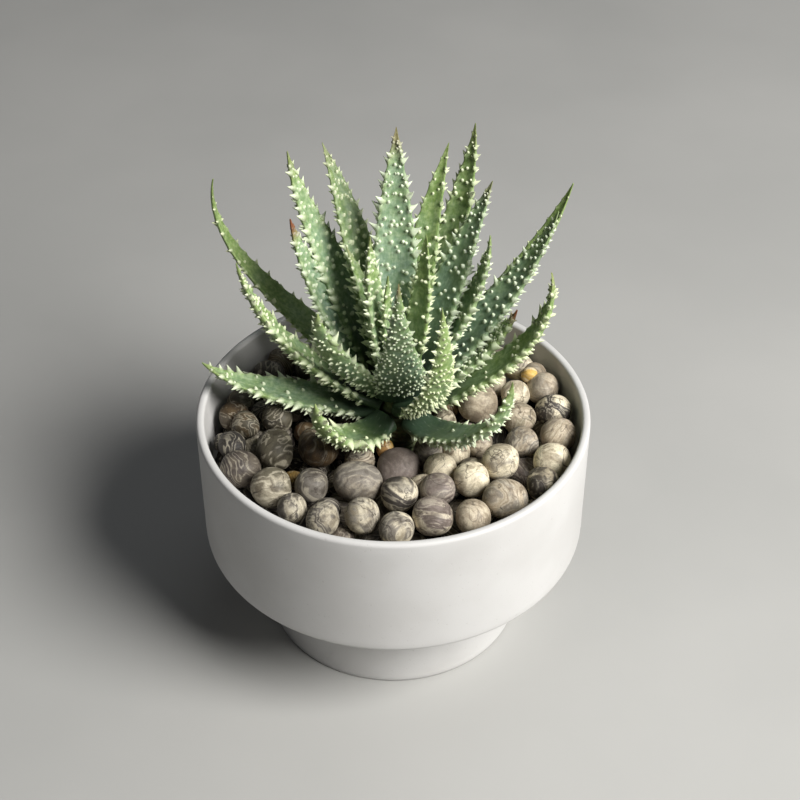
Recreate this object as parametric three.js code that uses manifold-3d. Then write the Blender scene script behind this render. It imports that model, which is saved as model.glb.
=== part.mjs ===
// A potted spider aloe: a short-stemmed rosette of toothed, fleshy leaves that grows through a layer of
// round pebbles in a footed ceramic bowl. Millimetres, +Z up. The origin is on the bowl's axis, in the
// plane that the foot ring stands on; +X is the rosette's right side and +Y its back.
import * as THREE from "three";
import { mergeVertices } from "three/addons/utils/BufferGeometryUtils.js";
import Module from "manifold-3d";

const wasm = await Module();
wasm.setup();

// ---- Driving dimensions -------------------------------------------------------------------------------
const RIM_R = 70; // outer radius of the bowl
const POT_H = 92; // height of the rim
const WALL = 4; // thickness of the bowl's wall
const BODY_Z = 41; // lower edge of the upright wall
const EDGE = 1.8; // bevel round that edge
const FOOT_R = 47.5; // the foot is a plain upright ring under the wider body
const STEP_Z = 39; // height where the underside meets the foot
const FOOT_RING = 6; // width of the ring that stands on the table
const RECESS = 4; // depth of the hollow inside the foot ring
const FLOOR_Z = 10; // inside floor of the bowl
const FLOOR_EDGE = 2; // bevel round that floor
const DRAIN_R = 6; // drainage hole
const GAP = 0.3; // clearance between pieces that touch

const SOIL_TOP = 62;
const BED_TOP = 69; // top of the lower pebbles under the ones that lie on them
const BED_BACK_TOP = 83; // top of the pebbles behind the rosette
const BED_BACK_Y = 29; // where those start
const PEBBLE_Z = 83; // centre height of a pebble of the top layer
const HOLLOW_DROP = 6; // how much lower the pebbles lie round the stem
const HOLLOW_R = 30; // where the bed starts to dip towards the stem

const CROWN = new THREE.Vector3(2, 2.5, 0); // axis of the stem
const CROWN_TOP = 100; // height where the youngest leaf starts
const CROWN_STEP = 2.3; // each older whorl starts this much lower
const CROWN_R = 1;
const CROWN_SPREAD = 1.3; // and this much further from the axis

// Share of a leaf's length that tapers, and how full the taper is.
const USUAL_TAPER = [0.65, 1.7];
const FULL_TAPER = [0.72, 0.78];
const SLIM_TAPER = [0.75, 1.2];
const LONG_TAPER = [0.95, 1.5];

const LEAF_SIDES = 8;
const LEAF_STEPS = 8;
const POT_SIDES = 44;

// ---- Solids and meshes --------------------------------------------------------------------------------
// A closed three.js geometry as a manifold-3d solid.
function solidOf(geometry, matrix = new THREE.Matrix4()) {
  const bare = new THREE.BufferGeometry();
  bare.setAttribute("position", geometry.getAttribute("position").clone());
  if (geometry.index) bare.setIndex(geometry.index);
  bare.applyMatrix4(matrix);
  const merged = mergeVertices(bare, 1e-3);
  return new wasm.Manifold(
    new wasm.Mesh({
      numProp: 3,
      vertProperties: merged.attributes.position.array,
      triVerts: new Uint32Array(merged.index.array),
    }),
  );
}

// The largest body of a solid: a cut between two leaf bases can leave a sliver beside it.
function largestBody(solid) {
  return solid.decompose().reduce((a, b) => (b.volume() > a.volume() ? b : a));
}

function geometryOf(solid) {
  const mesh = solid.getMesh();
  const geometry = new THREE.BufferGeometry();
  geometry.setAttribute("position", new THREE.BufferAttribute(mesh.vertProperties, 3));
  geometry.setIndex(new THREE.BufferAttribute(mesh.triVerts, 1));
  geometry.computeVertexNormals();
  return geometry;
}

const potted_aloe = new THREE.Group();

function addNode(name, geometry, material) {
  const mesh = new THREE.Mesh(geometry, material);
  mesh.name = name;
  potted_aloe.add(mesh);
  return mesh;
}

function finish(color, roughness) {
  return new THREE.MeshStandardMaterial({ color, roughness, metalness: 0 });
}

const ceramic = finish(0xd9d7d3, 0.75);
const potting_mix = finish(0x2a211a, 0.95);
const stone = finish(0x9c9080, 0.7);
const green_leaf = finish(0x6f8f63, 0.5);
const woody_stem = finish(0x7c7a55, 0.8);

// A profile of [radius, height] pairs turned about the upright axis.
function turned(profile, sides) {
  const lathe = new THREE.LatheGeometry(
    profile.map(([r, z]) => new THREE.Vector2(r, z)),
    sides,
  );
  return lathe.rotateX(Math.PI / 2);
}

// Points from the wall's lower edge in under the body to the foot, moved in by an offset.
function underBody(inset) {
  return [
    [RIM_R - inset, BODY_Z + EDGE + inset * 0.95],
    [RIM_R - EDGE - inset * 0.9, BODY_Z + inset],
    [FOOT_R - inset, STEP_Z + inset],
  ];
}

// ---- Bowl: one fired piece with a turned foot ring and a drainage hole --------------------------------
function bowl() {
  const lip = WALL / 2;
  const outside = [
    [DRAIN_R, RECESS],
    [FOOT_R - FOOT_RING - 1, RECESS],
    [FOOT_R - FOOT_RING, 0],
    [FOOT_R - 0.6, 0],
    [FOOT_R, 0.8],
    ...underBody(0).reverse(),
    [RIM_R, POT_H - lip * 0.6],
    [RIM_R - lip * 0.5, POT_H],
  ];
  const inside = [
    [RIM_R - WALL + lip * 0.5, POT_H],
    [RIM_R - WALL, POT_H - lip * 0.6],
    ...underBody(WALL),
    [FOOT_R - WALL, FLOOR_Z + FLOOR_EDGE],
    [FOOT_R - FOOT_RING, FLOOR_Z],
    [DRAIN_R, FLOOR_Z],
  ];
  return turned([...outside, ...inside, outside[0]], POT_SIDES);
}
addNode("bowl", bowl(), ceramic);

// ---- Curved bars: the shape of every root and leaf ----------------------------------------------------
const radians = THREE.MathUtils.degToRad;
const WALK = 60;

// The middle line of a growing part, walked in short steps, with the direction at each step. Its heading
// sweeps evenly and its rise above the horizontal changes from the first value to the second.
function growth(part, from) {
  const start = radians(part.heads);
  const points = [from];
  const headings = [start];
  const rises = [radians(part.rise[0])];
  for (let i = 1; i <= WALK; i++) {
    const along = (i - 0.5) / WALK;
    const rise = radians(part.rise[0] + (part.rise[1] - part.rise[0]) * along ** part.bend);
    const heading = start + radians(part.sweep) * along;
    const [level, up] = [Math.cos(rise), Math.sin(rise)];
    const step = new THREE.Vector3(level * Math.cos(heading), level * Math.sin(heading), up);
    points.push(step.multiplyScalar(part.length / WALK).add(points[i - 1]));
    headings.push(heading);
    rises.push(rise);
  }
  return { points, headings, rises };
}

// A unit cylinder bent along a middle line. The section gives, for a place along it, half the width and
// the thickness above and below the middle line.
function bentBar(line, section, sides, steps, roll = 0) {
  const bar = new THREE.CylinderGeometry(1, 1, 1, sides, steps);
  const place = bar.getAttribute("position");
  for (let i = 0; i < place.count; i++) {
    const along = 0.5 - place.getY(i);
    const { half, above, below } = section(along);
    const at = Math.round(along * WALK);
    const across = place.getX(i) * half;
    const through = place.getZ(i) * (place.getZ(i) > 0 ? above : below);
    const side = across * Math.cos(roll) - through * Math.sin(roll);
    const thick = across * Math.sin(roll) + through * Math.cos(roll);
    const heading = line.headings[at];
    const rise = line.rises[at];
    const back = Math.sin(rise) * thick;
    const x = line.points[at].x - Math.sin(heading) * side - Math.cos(heading) * back;
    const y = line.points[at].y + Math.cos(heading) * side - Math.sin(heading) * back;
    place.setXYZ(i, x, y, line.points[at].z + Math.cos(rise) * thick);
  }
  return solidOf(bar);
}

// ---- Stem with its roots: the woody core that every leaf grows from -----------------------------------
const ROOTS = 6;
const ROOT_TOP_Z = 56;
const ROOT_THICK = 2.4;

function stem(extra) {
  const profile = [
    [0, 50 - extra],
    [3.2 + extra, 51 - extra],
    [5.5 + extra, 60],
    [6.4 + extra, 74],
    [7.2 + extra, 85],
    [6.2 + extra, 91],
    [4 + extra, 96],
    [1.6 + extra, 100],
    [0, 101 + extra],
  ];
  return solidOf(turned(profile, 16), new THREE.Matrix4().setPosition(CROWN));
}

// A root is a tapering strand that leaves the stem's foot and turns down into the mix.
function root(index, extra) {
  const strand = {
    heads: (index * 360) / ROOTS + 15,
    rise: [-12, -62],
    bend: 1,
    sweep: index % 2 ? 25 : -20,
    length: 34 + 5 * (index % 3),
  };
  const line = growth(strand, CROWN.clone().setZ(ROOT_TOP_Z));
  const round = (along) => {
    const radius = ROOT_THICK * (1 - 0.75 * along) + extra;
    return { half: radius, above: radius, below: radius };
  };
  return bentBar(line, round, 6, 6);
}

function stemWithRoots(extra) {
  let whole = stem(extra);
  for (let i = 0; i < ROOTS; i++) whole = whole.add(root(i, extra));
  return whole;
}
const clearOfStem = stemWithRoots(GAP);
addNode("stem_and_roots", geometryOf(stemWithRoots(0)), woody_stem);

// ---- Potting mix and the lower pebbles: poured fills with the stem's place left open -----------------
const FILL_GAP = GAP + 0.15; // a little more, because the bowl's faceted wall bulges between its corners

function mix() {
  const inside = underBody(WALL + FILL_GAP).reverse();
  const profile = [
    [0, FLOOR_Z + FILL_GAP],
    [FOOT_R - FOOT_RING - FILL_GAP, FLOOR_Z + FILL_GAP],
    [FOOT_R - WALL - FILL_GAP, FLOOR_Z + FLOOR_EDGE + FILL_GAP],
    ...inside,
    [RIM_R - WALL - FILL_GAP, SOIL_TOP],
    [0, SOIL_TOP],
  ];
  return solidOf(turned(profile, POT_SIDES)).subtract(clearOfStem);
}
addNode("potting_mix", geometryOf(largestBody(mix())), potting_mix);

function lowerPebbles() {
  const edge = RIM_R - WALL - FILL_GAP;
  const layer = (low, high) => turned([[0, low], [edge, low], [edge, high], [0, high]], POT_SIDES);
  const disc = layer(SOIL_TOP + GAP, BED_TOP);
  const back = layer(BED_TOP - 1, BED_BACK_TOP);
  const front = new THREE.BoxGeometry(4 * RIM_R, 2 * RIM_R, POT_H);
  const shift = new THREE.Matrix4().setPosition(0, BED_BACK_Y - RIM_R, BED_TOP + POT_H / 2 - 2);
  return solidOf(disc).add(solidOf(back).subtract(solidOf(front, shift))).subtract(clearOfStem);
}
addNode("pebble_bed", geometryOf(lowerPebbles()), stone);

// ---- Leaves -------------------------------------------------------------------------------------------
// Each row is one leaf, youngest first: the way it heads (degrees from +X towards +Y), its rise above the
// horizontal at the base and at the tip, how late along its length the rise changes, how far its heading
// sweeps, its length and width, and the whorl it grows from, 0 being the heart of the rosette. Roll is
// how far a leaf turns about its own length, which lifts its left edge. A leaf with a slimmer outer half
// than the others has its own taper [share of the length that tapers, fullness of the taper].
const LEAVES = [
  { heads: 149, rise: [81, 94], bend: 1.5, sweep: 1, length: 46, width: 6, whorl: 0 },
  { heads: 276, rise: [70, 92], bend: 1.8, sweep: -20, length: 58, width: 17, whorl: 1, taper: FULL_TAPER },
  { heads: 145, rise: [77, 92], bend: 2.2, sweep: 8, length: 62, width: 10, whorl: 1 },
  { heads: 48, rise: [71, 87], bend: 1.2, sweep: 5, length: 60, width: 9, whorl: 1 },
  { heads: 125, rise: [69, 53], bend: 1.5, sweep: 9, length: 55, width: 8, whorl: 2 },
  { heads: 178, rise: [39, 93], bend: 2, sweep: 14, length: 46, width: 13, whorl: 2, roll: 50 },
  { heads: 27, rise: [53, 91], bend: 2.6, sweep: -14, length: 68, width: 10, whorl: 2 },
  { heads: 46, rise: [61, 58], bend: 1.5, sweep: -5, length: 81, width: 14, whorl: 2 },
  { heads: 66, rise: [48, 85], bend: 2.4, sweep: -14, length: 99, width: 13, whorl: 2 },
  { heads: 75, rise: [65, 49], bend: 1.5, sweep: -11, length: 89, width: 12, whorl: 2 },
  { heads: 96, rise: [72, 69], bend: 1.5, sweep: -10, length: 94, width: 16, whorl: 2 },
  { heads: 114, rise: [61, 50], bend: 1.5, sweep: 12, length: 91, width: 13, whorl: 2 },
  { heads: 122, rise: [50, 81], bend: 2.8, sweep: 34, length: 95, width: 14, whorl: 3 },
  { heads: 140, rise: [48, 80], bend: 2.4, sweep: 20, length: 74, width: 13, whorl: 3 },
  { heads: 33, rise: [37, 69], bend: 2.6, sweep: -10, length: 85, width: 14, whorl: 3 },
  { heads: 22, rise: [29, 72], bend: 2.6, sweep: -20, length: 51, width: 12, whorl: 3 },
  { heads: 303, rise: [35, 107], bend: 1.1, sweep: -9, length: 66, width: 13, whorl: 3, taper: SLIM_TAPER },
  { heads: 44, rise: [27, 66], bend: 1.7, sweep: -16, length: 98, width: 13, whorl: 4 },
  { heads: 130, rise: [18, 102], bend: 2.4, sweep: 46, length: 110, width: 14, whorl: 4, taper: LONG_TAPER },
  { heads: 165, rise: [24, 78], bend: 1.5, sweep: 3, length: 76, width: 13, whorl: 4, roll: 20 },
  { heads: 3, rise: [27, 102], bend: 2, sweep: -4, length: 78, width: 12, whorl: 4 },
  { heads: 166, rise: [5, 50], bend: 2.8, sweep: 25, length: 67, width: 14, whorl: 5 },
  { heads: 228, rise: [-2, 87], bend: 1.1, sweep: 2, length: 50, width: 13, whorl: 5 },
  { heads: 312, rise: [9, 86], bend: 1.2, sweep: 6, length: 68, width: 13, whorl: 5 },
];

// Half the leaf's width at a place along it: nearly even for the lower third, then tapering to the tip.
function halfWidth(leaf, along) {
  const [share, fullness] = leaf.taper ?? USUAL_TAPER;
  const toTip = Math.min((1 - along) / share, 1);
  const base = 0.88 + 0.12 * Math.min(along / 0.2, 1);
  return (leaf.width / 2) * (1 - (1 - toTip) ** fullness) * base + 0.12;
}

// A leaf is nearly flat on its upper face and bellied below.
function leafSolid(leaf, extra) {
  const heads = radians(leaf.heads);
  const out = CROWN_R + CROWN_SPREAD * leaf.whorl;
  const foot = CROWN_TOP - CROWN_STEP * leaf.whorl;
  const base = new THREE.Vector3(Math.cos(heads) * out, Math.sin(heads) * out, foot);
  const section = (along) => {
    const half = halfWidth(leaf, along);
    return { half: half + extra, above: 0.22 * half + extra, below: 0.62 * half ** 0.8 + 0.35 + extra };
  };
  return bentBar(growth(leaf, base.add(CROWN)), section, LEAF_SIDES, LEAF_STEPS, radians(leaf.roll ?? 0));
}

// Each leaf clasps the stem and the younger leaves inside it, so it is cut back from them by the gap.
let younger = clearOfStem;
LEAVES.forEach((leaf, index) => {
  const solid = largestBody(leafSolid(leaf, 0).subtract(younger));
  younger = younger.add(leafSolid(leaf, GAP));
  addNode("leaf_" + String(index + 1).padStart(2, "0"), geometryOf(solid), green_leaf);
});

// A small offset shoot that comes up between the pebbles in front of the stem.
function offsetShoot() {
  const shoot = new THREE.SphereGeometry(1, 8, 6);
  shoot.rotateX(Math.PI / 2).scale(2.6, 2.2, 5.6).rotateX(0.2).translate(10.5, -9.5, 78.5);
  return largestBody(solidOf(shoot).subtract(younger));
}
addNode("offset_shoot", geometryOf(offsetShoot()), green_leaf);

// ---- Top pebbles --------------------------------------------------------------------------------------
// The larger pebbles that lie in front of and beside the rosette: place on the bed [x, y], then length
// and width. Those along the wall are first, from left to right.
const PEBBLES = [
  { at: [-57, -10], size: [10, 11] },
  { at: [-52, -22], size: [14.5, 14] },
  { at: [-41, -32], size: [14.5, 14] },
  { at: [-33, -43], size: [10.5, 10.5] },
  { at: [-22, -47], size: [11.5, 12.5] },
  { at: [-10, -47.5], size: [12, 13.5] },
  { at: [1, -50], size: [12, 12] },
  { at: [14, -47], size: [14, 14] },
  { at: [26, -45], size: [12, 12.5] },
  { at: [39, -35], size: [16.5, 13] },
  { at: [49, -28], size: [12, 12] },
  { at: [54, -17], size: [13.5, 13] },
  { at: [58, -5], size: [13, 12.5] },
  { at: [58, 8], size: [13.5, 12.5] },
  { at: [56, 18], size: [12, 12] },
  { at: [-53, 1], size: [10, 11] },
  { at: [-41, -13], size: [13.5, 15] },
  { at: [-42, 5], size: [11.5, 12] },
  { at: [-28, -11], size: [15, 15] },
  { at: [-27, -31], size: [12, 12.5] },
  { at: [-13, -30], size: [18, 14.5] },
  { at: [-11, -14], size: [11, 11.5] },
  { at: [1, -16], size: [15.5, 15.5] },
  { at: [2, -35], size: [13, 13] },
  { at: [14, -34], size: [12.5, 11.5] },
  { at: [18, -22], size: [12, 11.5] },
  { at: [28, -27], size: [12.5, 13] },
  { at: [37, -19], size: [13.5, 13] },
  { at: [46, -10], size: [12, 11] },
  { at: [46, 5], size: [12.5, 12] },
  { at: [31, 13], size: [15, 14.5] },
];
const PEBBLE_GAP = 0.4;
const SETTLING_STEPS = 200;

// Lets the pebbles settle: any two that are too close push each other apart, and the wall pushes back.
function settle(pebbles) {
  const placed = pebbles.map((p) => ({ x: p.at[0], y: p.at[1], r: Math.max(...p.size) / 2, size: p.size }));
  for (let step = 0; step < SETTLING_STEPS; step++) {
    placed.forEach((a, i) => {
      placed.slice(i + 1).forEach((b) => {
        const apart = Math.hypot(b.x - a.x, b.y - a.y);
        const short = (a.r + b.r + PEBBLE_GAP - apart) / 2;
        if (short <= 0) return;
        const [ux, uy] = [(b.x - a.x) / apart, (b.y - a.y) / apart];
        a.x -= ux * short;
        a.y -= uy * short;
        b.x += ux * short;
        b.y += uy * short;
      });
      const out = Math.hypot(a.x, a.y);
      const most = RIM_R - WALL - PEBBLE_GAP - a.r;
      if (out > most) {
        a.x *= most / out;
        a.y *= most / out;
      }
    });
  }
  return placed;
}

settle(PEBBLES).forEach((pebble, index) => {
  const fromStem = Math.hypot(pebble.x - CROWN.x, pebble.y - CROWN.y);
  const dip = Math.min(Math.max((HOLLOW_R - fromStem) / 12, 0), 1);
  const height = (pebble.size[0] + pebble.size[1]) / 2 * 0.94;
  const ball = new THREE.IcosahedronGeometry(1, 1);
  const matrix = new THREE.Matrix4()
    .makeTranslation(pebble.x, pebble.y, PEBBLE_Z - HOLLOW_DROP * dip)
    .scale(new THREE.Vector3(pebble.size[0], pebble.size[1], height).multiplyScalar(0.5));
  const solid = solidOf(ball, matrix).subtract(younger);
  addNode("pebble_" + String(index + 1).padStart(2, "0"), geometryOf(largestBody(solid)), stone);
});

export default potted_aloe;
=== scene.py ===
"""Potted spider aloe: a rosette of toothed, waxy leaves in a footed ceramic bowl filled with round pebbles.

The sections follow the plant as it is put together: bowl, potting mix, stem, pebbles, leaves, shoot.
Lengths are in metres and angles in degrees, unless a name ends in _MM.
"""

import math
from collections import namedtuple

import bpy
import numpy as np
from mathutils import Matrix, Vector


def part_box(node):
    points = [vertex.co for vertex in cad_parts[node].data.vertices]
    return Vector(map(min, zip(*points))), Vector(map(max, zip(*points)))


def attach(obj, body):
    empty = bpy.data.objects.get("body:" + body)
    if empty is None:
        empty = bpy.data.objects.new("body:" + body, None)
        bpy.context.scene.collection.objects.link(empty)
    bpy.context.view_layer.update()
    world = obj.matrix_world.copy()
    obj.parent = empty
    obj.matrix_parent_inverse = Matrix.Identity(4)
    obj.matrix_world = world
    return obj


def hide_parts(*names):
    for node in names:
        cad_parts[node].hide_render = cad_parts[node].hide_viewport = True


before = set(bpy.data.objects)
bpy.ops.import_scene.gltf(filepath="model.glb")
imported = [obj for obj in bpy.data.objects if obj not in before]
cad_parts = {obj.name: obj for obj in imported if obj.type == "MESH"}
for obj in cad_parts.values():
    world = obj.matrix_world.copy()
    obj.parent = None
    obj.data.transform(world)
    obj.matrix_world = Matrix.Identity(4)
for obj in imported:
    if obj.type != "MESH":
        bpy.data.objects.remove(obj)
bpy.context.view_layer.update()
MM = 0.001

# --- Bowl -------------------------------------------------------------------------------------------
# One piece of pale matte ceramic: an upright wall with a soft lip, on a narrower upright foot with a shallow
# recess under it. It is cast, then fired without a glaze.

bowl_low, bowl_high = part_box("bowl")
AXIS = np.array([(bowl_low.x + bowl_high.x) / 2, (bowl_low.y + bowl_high.y) / 2, 0.0])
RIM_R = (bowl_high.x - bowl_low.x) / 2
RIM_Z = bowl_high.z
WALL_MM = 4.0
LIP_MM, LIP_EDGE_MM = 3.0, 1.3
FOOT_R_MM = 47.5
CURVE_STEPS, BOWL_SIDES = 6, 256


def grid_triangles(rows, columns, close_rows=False):
    """Triangles over rings of points, numbered ring by ring. Each cell (i, j) gives the triangles
    (i,j) (i,j+1) (i+1,j+1) and (i,j) (i+1,j+1) (i+1,j); close_rows joins the last ring to the first."""
    i = np.arange(rows if close_rows else rows - 1)[:, None]
    j = np.arange(columns)[None, :]
    i2, j2 = (i + 1) % rows, (j + 1) % columns
    a, b, c, d = (i * columns + j, i * columns + j2, i2 * columns + j2, i2 * columns + j)
    return np.concatenate([np.stack([a, b, c], -1).reshape(-1, 3), np.stack([a, c, d], -1).reshape(-1, 3)])


def outward(points, triangles):
    """The triangles, turned over if they face inwards: the signed volume sum(a . (b x c)) / 6 of a closed
    shell is positive when they face outwards."""
    a, b, c = (points[triangles[:, k]] for k in range(3))
    return triangles if np.einsum("ij,ij->", a, np.cross(b, c)) > 0 else triangles[:, ::-1]


def add_mesh(name, points, triangles, material, numbers=None, colours=None, vectors=None):
    """A smooth mesh at the origin, with one value a vertex for each named number, colour or vector."""
    mesh = bpy.data.meshes.new(name)
    mesh.vertices.add(len(points))
    mesh.vertices.foreach_set("co", np.asarray(points, np.float32).ravel())
    mesh.loops.add(triangles.size)
    mesh.loops.foreach_set("vertex_index", np.asarray(triangles, np.int32).ravel())
    mesh.polygons.add(len(triangles))
    mesh.polygons.foreach_set("loop_start", np.arange(0, triangles.size, 3, dtype=np.int32))
    mesh.polygons.foreach_set("use_smooth", np.ones(len(triangles), bool))
    mesh.update(calc_edges=True)
    for label, values in (numbers or {}).items():
        layer = mesh.attributes.new(label, "FLOAT", "POINT")
        layer.data.foreach_set("value", np.asarray(values, np.float32).ravel())
    for label, values in (vectors or {}).items():
        layer = mesh.attributes.new(label, "FLOAT_VECTOR", "POINT")
        layer.data.foreach_set("vector", np.asarray(values, np.float32).ravel())
    for label, values in (colours or {}).items():
        layer = mesh.attributes.new(label, "FLOAT_COLOR", "POINT")
        rgba = np.concatenate([values, np.ones((len(points), 1))], 1)
        layer.data.foreach_set("color", np.asarray(rgba, np.float32).ravel())
    mesh.materials.append(material)
    piece = bpy.data.objects.new(name, mesh)
    bpy.context.scene.collection.objects.link(piece)
    return piece


def stands_for(piece, slot, *nodes):
    """The piece rides on the one body and hides the CAD nodes it is drawn over; its slot is not used."""
    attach(piece, "root")
    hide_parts(*nodes)


def put(tree, kind, inputs=None, **settings):
    """A shader node with its settings and inputs; an input that is a socket is linked."""
    node = tree.nodes.new("ShaderNode" + kind)
    for key, value in settings.items():
        setattr(node, key, value)
    for key, value in (inputs or {}).items():
        if isinstance(value, bpy.types.NodeSocket):
            tree.links.new(value, node.inputs[key])
        else:
            node.inputs[key].default_value = value
    return node


def noise(tree, place, scale, detail=3.0, roughness=0.5, distortion=0.0):
    """A noise value from 0 to 1 over the given coordinates."""
    inputs = {
        "Vector": place, "Scale": scale, "Detail": detail, "Roughness": roughness, "Distortion": distortion}
    return put(tree, "TexNoise", inputs).outputs["Fac"]


def calc(tree, operation, a, b=0.0, clamp=False):
    """One arithmetic step on values that vary over the surface."""
    return put(tree, "Math", {0: a, 1: b}, operation=operation, use_clamp=clamp).outputs[0]


def times(tree, a, b):
    return calc(tree, "MULTIPLY", a, b)


def between(tree, value, low, high, to_low=0.0, to_high=1.0):
    """The value's place between low and high, eased at both ends, as a number from to_low to to_high."""
    inputs = {0: value, 1: low, 2: high, 3: to_low, 4: to_high}
    return put(tree, "MapRange", inputs, interpolation_type="SMOOTHSTEP").outputs[0]


def mix(tree, factor, a, b, blend_type="MIX"):
    """Colour a to colour b by a factor from 0 to 1."""
    inputs = {0: factor, 6: a, 7: b}
    return put(tree, "Mix", inputs, data_type="RGBA", blend_type=blend_type).outputs[2]


def attribute(tree, name):
    return put(tree, "Attribute", attribute_name=name)


def new_finish(name, **constants):
    """A material with one Principled shader, whose all-over values are set on its own sockets."""
    material = bpy.data.materials.new(name)
    material.use_nodes = True
    shader = material.node_tree.nodes["Principled BSDF"]
    for key, value in constants.items():
        shader.inputs[key.replace("_", " ")].default_value = value
    return material, material.node_tree, shader


def feed(tree, shader, colour, roughness, height, strength, distance):
    """Links a colour, a roughness and a bump height into the shader."""
    tree.links.new(colour, shader.inputs["Base Color"])
    tree.links.new(roughness, shader.inputs["Roughness"])
    bump = put(tree, "Bump", {"Strength": strength, "Distance": distance, "Height": height})
    tree.links.new(bump.outputs[0], shader.inputs["Normal"])


def ceramic_finish():
    """Pale grey-white bisque: faint cloudy tone, fine sandy speckle and pinholes."""
    material, tree, shader = new_finish("bisque_ceramic")
    place = put(tree, "TexCoord").outputs["Object"]
    cloud = noise(tree, place, 38.0, 4.0)
    speck = noise(tree, place, 2600.0, 2.0)
    pin = noise(tree, place, 900.0, 1.0)
    tone = mix(tree, between(tree, cloud, 0.35, 0.65), (0.57, 0.562, 0.548, 1), (0.61, 0.604, 0.592, 1))
    tone = mix(tree, between(tree, speck, 0.6, 0.78, 0.0, 0.25), tone, (0.45, 0.43, 0.4, 1))
    tone = mix(tree, between(tree, pin, 0.72, 0.78, 0.0, 0.25), tone, (0.36, 0.34, 0.32, 1))
    rough = between(tree, cloud, 0.3, 0.7, 0.5, 0.62)
    height = calc(tree, "SUBTRACT", times(tree, speck, 0.35), between(tree, pin, 0.68, 0.76))
    feed(tree, shader, tone, rough, height, 0.18, 0.15 * MM)
    return material


def curve_through(corners, steps):
    """Points on a Catmull-Rom curve through the corners, the given number of steps to each stretch:
    p = (2b + (c-a)t + (2a-5b+4c-d)t^2 + (3b-a-3c+d)t^3) / 2."""
    path = np.concatenate([[2 * corners[0] - corners[1]], corners, [2 * corners[-1] - corners[-2]]])
    a, b, c, d = (path[k : len(path) - 3 + k, None] for k in range(4))
    t = (np.arange(steps) / steps)[None, :, None]
    points = (2 * b + (c - a) * t + (2 * a - 5 * b + 4 * c - d) * t**2 + (3 * b - a - 3 * c + d) * t**3) / 2
    return np.concatenate([points.reshape(-1, corners.shape[1]), corners[-1:]])


def full_turn(count):
    """Angles evenly spaced round a circle, in radians: 2 pi k / count."""
    return np.linspace(0, 2 * np.pi, count, endpoint=False)


def turned(outline, sides):
    """A closed outline of (radius, height) points carried round the bowl's axis:
    x = r cos t, y = r sin t, z = height."""
    turn = full_turn(sides)
    radius, height = outline[:, :1], outline[:, 1:]
    points = np.stack([radius * np.cos(turn), radius * np.sin(turn), height + 0 * turn], -1)
    points = points.reshape(-1, 3) + AXIS
    return points, outward(points, grid_triangles(len(outline), sides, close_rows=True))


def bowl_outline():
    """Half of the bowl's cut section, in metres, from the drainage hole out under the foot, up the outside,
    over the lip and down the inside. Each stretch is a smooth curve; the foot's edges are small rounds."""
    r, top, foot_r, edge = RIM_R / MM, RIM_Z / MM, FOOT_R_MM, LIP_EDGE_MM
    under = [(6, 4.6), (6.5, 4), (40, 4), (40.9, 3.6), (41.5, 0.7), (42.2, 0), (46.3, 0), (47.2, 0.3)]
    foot = [(foot_r, 1.2), (foot_r, 10), (foot_r, 24), (foot_r, 36), (47.6, 38.2), (48.2, 38.9), (50, 39.2)]
    wall = [
        (50, 39.2), (58, 40), (65.5, 40.6), (68.4, 41.2), (69.6, 42.2),
        (r, 44), (r, 50), (r, 66), (r, top - edge)]
    turn = np.radians(np.linspace(0, 90, 7))
    outer = np.stack([r - edge + edge * np.cos(turn), top - edge + edge * np.sin(turn)], -1)
    inner = np.stack([r - LIP_MM + edge - edge * np.sin(turn), top - edge + edge * np.cos(turn)], -1)
    inside = [
        (r - LIP_MM, top - 4), (r - 3.7, top - 16), (r - WALL_MM, 62), (r - WALL_MM, 49),
        (65.3, 46.4), (63, 45.2), (54, 44.3)]
    floor = [
        (54, 44.3), (46, 43.4), (44, 42), (43.5, 38), (43.5, 16),
        (43.1, 11.8), (41.4, 10.2), (38, 10), (6, 9.4)]
    smooth = [curve_through(np.array(part, float), CURVE_STEPS)[:-1] for part in (foot, wall, inside, floor)]
    return np.concatenate([under, *smooth[:2], outer, inner, *smooth[2:], floor[-1:]]) * MM


bisque = ceramic_finish()
bowl_points, bowl_triangles = turned(bowl_outline(), BOWL_SIDES)
stands_for(add_mesh("bowl_shell", bowl_points, bowl_triangles, bisque), "ceramic", "bowl")

# --- Potting mix ------------------------------------------------------------------------------------
# Dark, crumbly potting mix that fills the bowl up to the stones. It shows only as black gaps between
# them, so its top is lumpy and its sides follow the bowl's inside.

mix_low, mix_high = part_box("potting_mix")
MIX_RINGS, MIX_SIDES = 60, 180
COARSE_CRUMB, FINE_CRUMB = 1.6 * MM, 1.1 * MM


def waves(points, frequency, count, seed):
    """Smooth lumps: the mean of sin(f k.p + phase) over a few random directions k, from -1 to 1."""
    draw = np.random.default_rng(seed)
    ways = draw.normal(size=(count, 3)) * frequency
    return np.sin(points @ ways.T + draw.uniform(0, 2 * np.pi, count)).mean(-1) * math.sqrt(2)


def capped(points, rows, columns, tip=None):
    """Rings of points closed by a fan of triangles at each end, to the mean of the end ring or to a tip."""
    j, last, total = np.arange(columns), (rows - 1) * columns, rows * columns
    beside = (j + 1) % columns
    first_fan = np.stack([beside, j, 0 * j + total], -1)
    last_fan = np.stack([last + j, last + beside, 0 * j + total + 1], -1)
    ends = [points[:columns].mean(0), points[-columns:].mean(0) if tip is None else tip]
    points = np.concatenate([points, ends])
    return points, outward(points, np.concatenate([grid_triangles(rows, columns), first_fan, last_fan]))


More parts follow.
